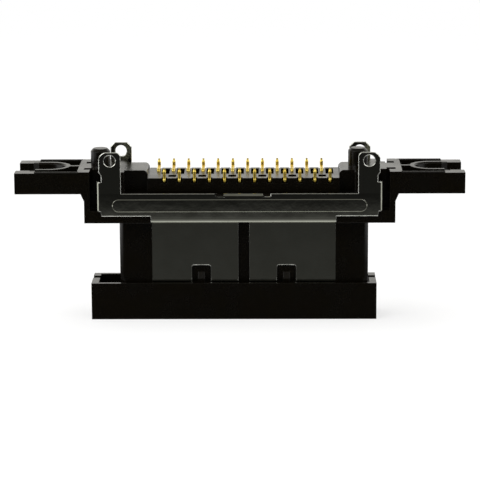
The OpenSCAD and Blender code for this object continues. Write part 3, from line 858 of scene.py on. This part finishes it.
@dataclass
class Studio:
    """Pale floor, soft light and a camera at the photograph's angle.

    Attributes:
        yaw: Turn of the camera to the right of the part's front, in degrees.
        elevation: Height angle of the camera, in degrees.
        roll: Turn of the picture, in degrees.
        distance: Distance from the camera to the point that it looks at.
        look_at: That point.
        lens: Focal length in millimetres.
        sensor: Width of the sensor in millimetres.
        clip: Distance from which the camera sees.
        floor_half: Half the floor's width.
        floor_gap: How far the floor lies below the part's bottom.
        floor_tone: Colour of the floor.
        floor_fade: Distances from the part between which the floor fades to white.
        shadow_share: How much of the floor's own shading shows near the part.
        dim: What glossy surfaces see of the unlit part of the room.
        floor_lit: Brightness of the floor in reflections that look straight down.
        steepness: Power by which it falls off in flatter reflections.
        side_near: Distance from the middle at which the lit sides begin.
        side_far: Distance from the middle at which they are fully lit.
        side_depth: Distance in front of the part that sets their spread.
        side_spread: Spreads at which they begin and are fully lit.
        side_left: Brightness of the floor to the left in reflections.
        side_right: Brightness of the floor to the right in reflections.
        sky: What glossy surfaces see of the room above.
        sky_fade: Upward parts of a direction between which the sky grows.
        band_fade: Upward parts of a direction between which the low band ends.
        back_fade: Backward parts of a direction between which the band turns white.
        beside_fade: Sideward parts of a direction between which the band's ends grow.
        left_glow: Brightness of the band's left end.
        right_glow: Brightness of the band's right end.
        warmth: Tint of the surroundings in reflections.
        lamps: The lamps.
    """

    yaw: float = 0.841
    elevation: float = 12.27
    roll: float = -0.294
    distance: float = 320.99 * MM
    look_at: Triple = (-0.041 * MM, 0.0, 10.2 * MM)
    lens: float = 178.25
    sensor: float = 36.0
    clip: float = 5.0 * MM
    floor_half: float = 3.0
    floor_gap: float = 0.02 * MM
    floor_tone: float = 0.86
    floor_fade: Span = (0.1, 0.35)
    shadow_share: float = 0.3
    dim: float = 0.016
    floor_lit: float = 1.1
    steepness: float = 2.4
    side_near: float = 52.0 * MM
    side_far: float = 66.0 * MM
    side_depth: float = 20.0 * MM
    side_spread: Span = (0.9, 1.7)
    side_left: float = 1.5
    side_right: float = 1.0
    sky: float = 0.27
    sky_fade: Span = (0.2, 0.5)
    band_fade: Span = (0.45, 0.75)
    back_fade: Span = (0.0, 0.5)
    beside_fade: Span = (0.3, 0.8)
    left_glow: float = 0.2
    right_glow: float = 0.14
    warmth: Triple = (1.0, 0.985, 0.93)
    lamps: tuple[Lamp, ...] = LAMPS

    def place_camera(self) -> None:
        """Puts the camera on its sphere round the point that it looks at."""
        yaw, tilt, roll = (math.radians(angle) for angle in (self.yaw, self.elevation, self.roll))
        level = math.cos(tilt)
        out = Vector((math.sin(yaw) * level, -math.cos(yaw) * level, math.sin(tilt)))
        right = (-out).cross(Vector((0.0, 0.0, 1.0))).normalized()
        up = right.cross(-out)
        side = right * math.cos(roll) + up * math.sin(roll)
        top = up * math.cos(roll) - right * math.sin(roll)
        data = bpy.data.cameras.new("camera")
        data.sensor_width = self.sensor
        data.lens = self.lens
        data.clip_start = self.clip
        camera = bpy.data.objects.new("camera", data)
        place = Matrix((side, top, out)).transposed().to_4x4()
        place.translation = Vector(self.look_at) + out * self.distance
        camera.matrix_world = place
        bpy.context.scene.collection.objects.link(camera)
        bpy.context.scene.camera = camera

    def lay_floor(self) -> None:
        """Lays a pale floor that fades to white far out.

        Reflections show it as a dim studio floor in front of and behind the part,
        brighter the steeper it is seen, and lit on both sides.
        """
        half = self.floor_half
        grid = np.array([[-half, -half], [half, -half], [half, half], [-half, half]])
        corners = np.column_stack([grid, np.full(len(grid), -self.floor_gap)])
        mesh = bpy.data.meshes.new("floor")
        mesh.from_pydata(corners.tolist(), [], [[0, 1, 2, 3]])
        floor = bpy.data.objects.new("floor", mesh)
        bpy.context.scene.collection.objects.link(floor)
        material, graph = new_material("pale_floor")
        point = graph.add("TexCoord").outputs["Object"]
        path = graph.add("LightPath")
        away = graph.vector("LENGTH", point).outputs["Value"]
        white_share = graph.ramp(away, self.floor_fade, (1.0 - self.shadow_share, 1.0))
        pale = graph.add("BsdfDiffuse", Color=(self.floor_tone, self.floor_tone, self.floor_tone, 1.0))
        white = graph.add("Emission", Color=WHITE, Strength=1.0)
        shine = graph.add("Emission", Color=WHITE, Strength=self.floor_shine(graph, point))
        seen = graph.math("MULTIPLY", path.outputs["Is Camera Ray"], white_share)
        lit = graph.blend(seen, pale, white)
        mixed = graph.blend(path.outputs["Is Glossy Ray"], lit, shine)
        graph.add("OutputMaterial", Surface=mixed.outputs[0])
        mesh.materials.append(material)

    def floor_shine(self, graph: Graph, point: Socket) -> Socket:
        """Works out how bright the floor is in reflections.

        The front term is a power of the sine of the angle at which the floor is
        seen. The side term starts some way beside the part and widens towards the
        back: it goes by the distance from the middle over the distance in front of
        the part. The larger of the two counts.

        Args:
            graph: The floor's tree.
            point: The point on the floor.

        Returns:
            The brightness socket.
        """
        place = graph.add("SeparateXYZ", Vector=point)
        sine = graph.math("SUBTRACT", 1.0, graph.add("LayerWeight", Blend=0.5).outputs["Facing"])
        steep = graph.math("POWER", sine, self.steepness)
        front = graph.math("ADD", graph.math("MULTIPLY", steep, self.floor_lit), self.dim)
        sideways = graph.math("ABSOLUTE", place.outputs["X"])
        ahead = graph.math("MAXIMUM", graph.math("MULTIPLY", place.outputs["Y"], -1.0), 0.0)
        spread = graph.math("DIVIDE", sideways, graph.math("ADD", ahead, self.side_depth))
        beside = graph.math("MULTIPLY", graph.ramp(sideways, (self.side_near, self.side_far)),
                            graph.ramp(spread, self.side_spread))
        level = graph.ramp(place.outputs["X"], (-self.side_near, self.side_near),
                           (self.side_left, self.side_right))
        return graph.math("MAXIMUM", front, graph.math("MULTIPLY", beside, level))

    def light_world(self) -> None:
        """Makes the surroundings: a white band low behind and dimmer ends beside."""
        world = bpy.data.worlds.new("studio")
        bpy.context.scene.world = world
        world.use_nodes = True
        graph = Graph(world.node_tree)
        way = graph.add("SeparateXYZ", Vector=graph.add("TexCoord").outputs["Generated"])
        low = graph.ramp(way.outputs["Z"], self.band_fade, (1.0, 0.0))
        behind = graph.ramp(way.outputs["Y"], self.back_fade)
        begin, end = self.beside_fade
        leftward = graph.ramp(way.outputs["X"], (-end, -begin), (self.left_glow, 0.0))
        rightward = graph.ramp(way.outputs["X"], (begin, end), (0.0, self.right_glow))
        band = graph.math("MAXIMUM", behind, leftward, rightward)
        ceiling = graph.ramp(way.outputs["Z"], self.sky_fade, (self.dim, self.sky))
        room = graph.math("ADD", graph.math("MULTIPLY", band, low), ceiling)
        path = graph.add("LightPath")
        clear = graph.math("MAXIMUM", path.outputs["Is Camera Ray"], path.outputs["Is Transmission Ray"])
        red, green, blue = (graph.math("MAXIMUM", graph.math("MULTIPLY", room, part), clear)
                            for part in self.warmth)
        colour = graph.add("CombineColor", Red=red, Green=green, Blue=blue)
        backdrop = graph.add("Background", Color=colour.outputs[0], Strength=1.0)
        graph.add("OutputWorld", Surface=backdrop.outputs[0])

    def build(self) -> None:
        """Sets the whole studio."""
        bpy.context.scene.view_settings.view_transform = "Standard"
        self.place_camera()
        self.lay_floor()
        self.light_world()
        for lamp in self.lamps:
            lamp.hang(self.look_at)
        LOG.info("studio set")


def main() -> None:
    """Builds and dresses every piece."""
    logging.basicConfig(level=logging.INFO, format="%(name)s: %(message)s")
    effects = Effects(grain=surface_field(), edges=edge_wear_and_highlight())
    Studio().build()
    Housing().dress(effects)
    Shells().dress(effects)
    for row in Row:
        ContactRow(row).build(effects)


if __name__ == "__main__":
    main()
